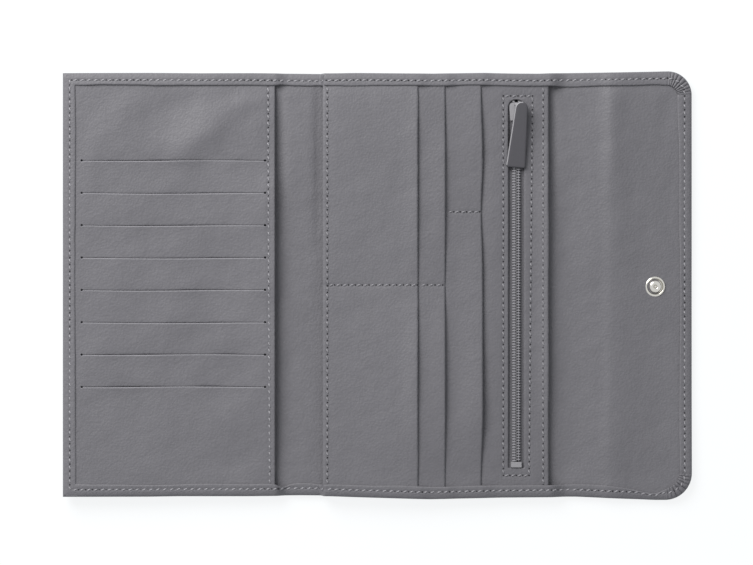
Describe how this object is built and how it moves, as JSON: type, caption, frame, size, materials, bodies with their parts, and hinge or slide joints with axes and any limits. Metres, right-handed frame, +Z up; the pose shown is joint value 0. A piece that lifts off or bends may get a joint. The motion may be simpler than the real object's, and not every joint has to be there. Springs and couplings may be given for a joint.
{
  "type": "coupon organizer wallet",
  "caption": "Long leather flap wallet lying open, with card slits, stepped note pockets, a zip pocket and a press-stud clasp.",
  "frame": {"origin": "on the table, under the middle of the wallet lying open", "axes": "+X across the folds towards the flap, +Y along the folds towards the zip's closed end, +Z up"},
  "size_m": [0.302, 0.204, 0.0118],
  "materials": {
    "outer_leather": "fine smooth grain, matt",
    "lining_leather": "smooth, matt",
    "pocket_leather": "smooth, matt",
    "stiffener": "bonded leather board",
    "pocket_fabric": "plain weave",
    "zip_tape": "woven tape",
    "zip_coil": "moulded coil",
    "zip_metal": "nickel plated",
    "pull_lacquer": "satin lacquer",
    "clasp_metal": "polished nickel"
  },
  "bodies": {
    "back": {"back_shell": "outer_leather", "back_board": "stiffener", "back_lining": "lining_leather", "bag_back": "pocket_fabric", "bag_front": "pocket_fabric", "zip_tape_left": "zip_tape", "zip_tape_right": "zip_tape", "zip_coil_left": "zip_coil", "zip_coil_right": "zip_coil", "zip_top_stops": "zip_metal", "zip_bottom_stop": "zip_metal", "zip_panel": "pocket_leather", "pocket_c": "pocket_leather", "pocket_b": "pocket_leather", "pocket_a": "pocket_leather"},
    "spine": {"spine_shell": "outer_leather", "spine_stiffener": "stiffener", "spine_lining": "lining_leather"},
    "cover": {"cover_shell": "outer_leather", "cover_board": "stiffener", "cover_lining": "lining_leather", "card_backing": "pocket_fabric", "card_pocket_1": "pocket_fabric", "card_pocket_2": "pocket_fabric", "card_pocket_3": "pocket_fabric", "card_pocket_4": "pocket_fabric", "card_pocket_5": "pocket_fabric", "card_pocket_6": "pocket_fabric", "card_pocket_7": "pocket_fabric", "card_pocket_8": "pocket_fabric", "card_face": "pocket_leather", "clasp_socket": "clasp_metal", "clasp_spring": "clasp_metal", "clasp_socket_rivet": "clasp_metal"},
    "flap_spine": {"flap_spine_shell": "outer_leather", "flap_spine_stiffener": "stiffener", "flap_spine_lining": "lining_leather"},
    "flap": {"flap_shell": "outer_leather", "flap_board": "stiffener", "flap_lining": "lining_leather", "clasp_stud": "clasp_metal", "clasp_stud_rivet": "clasp_metal"},
    "slider": {"zip_slider": "zip_metal"},
    "pull": {"zip_pull": "pull_lacquer"}
  },
  "joints": [
    {"name": "spine_fold", "type": "hinge", "parent": "back", "child": "spine", "pos_m": [-0.0278, 0, 0.0028], "axis": [0, 1, 0], "range_deg": [0, 90]},
    {"name": "cover_fold", "type": "hinge", "parent": "spine", "child": "cover", "pos_m": [-0.0478, 0, 0.0028], "axis": [0, 1, 0], "range_deg": [0, 88.75]},
    {"name": "flap_spine_fold", "type": "hinge", "parent": "back", "child": "flap_spine", "pos_m": [0.0835, 0, 0.0028], "axis": [0, -1, 0], "range_deg": [0, 90]},
    {"name": "flap_fold", "type": "hinge", "parent": "flap_spine", "child": "flap", "pos_m": [0.109, 0, 0.0028], "axis": [0, -1, 0], "range_deg": [0, 90]},
    {"name": "zip_slide", "type": "slide", "parent": "back", "child": "slider", "axis": [0, -1, 0], "range_m": [0, 0.1636], "deforming": ["zip_coil_left", "zip_coil_right"]},
    {"name": "pull_swing", "type": "hinge", "parent": "slider", "child": "pull", "pos_m": [0.06645, 0.0863, 0.00845], "axis": [1, 0, 0], "range_deg": [-90, 0]}
  ]
}
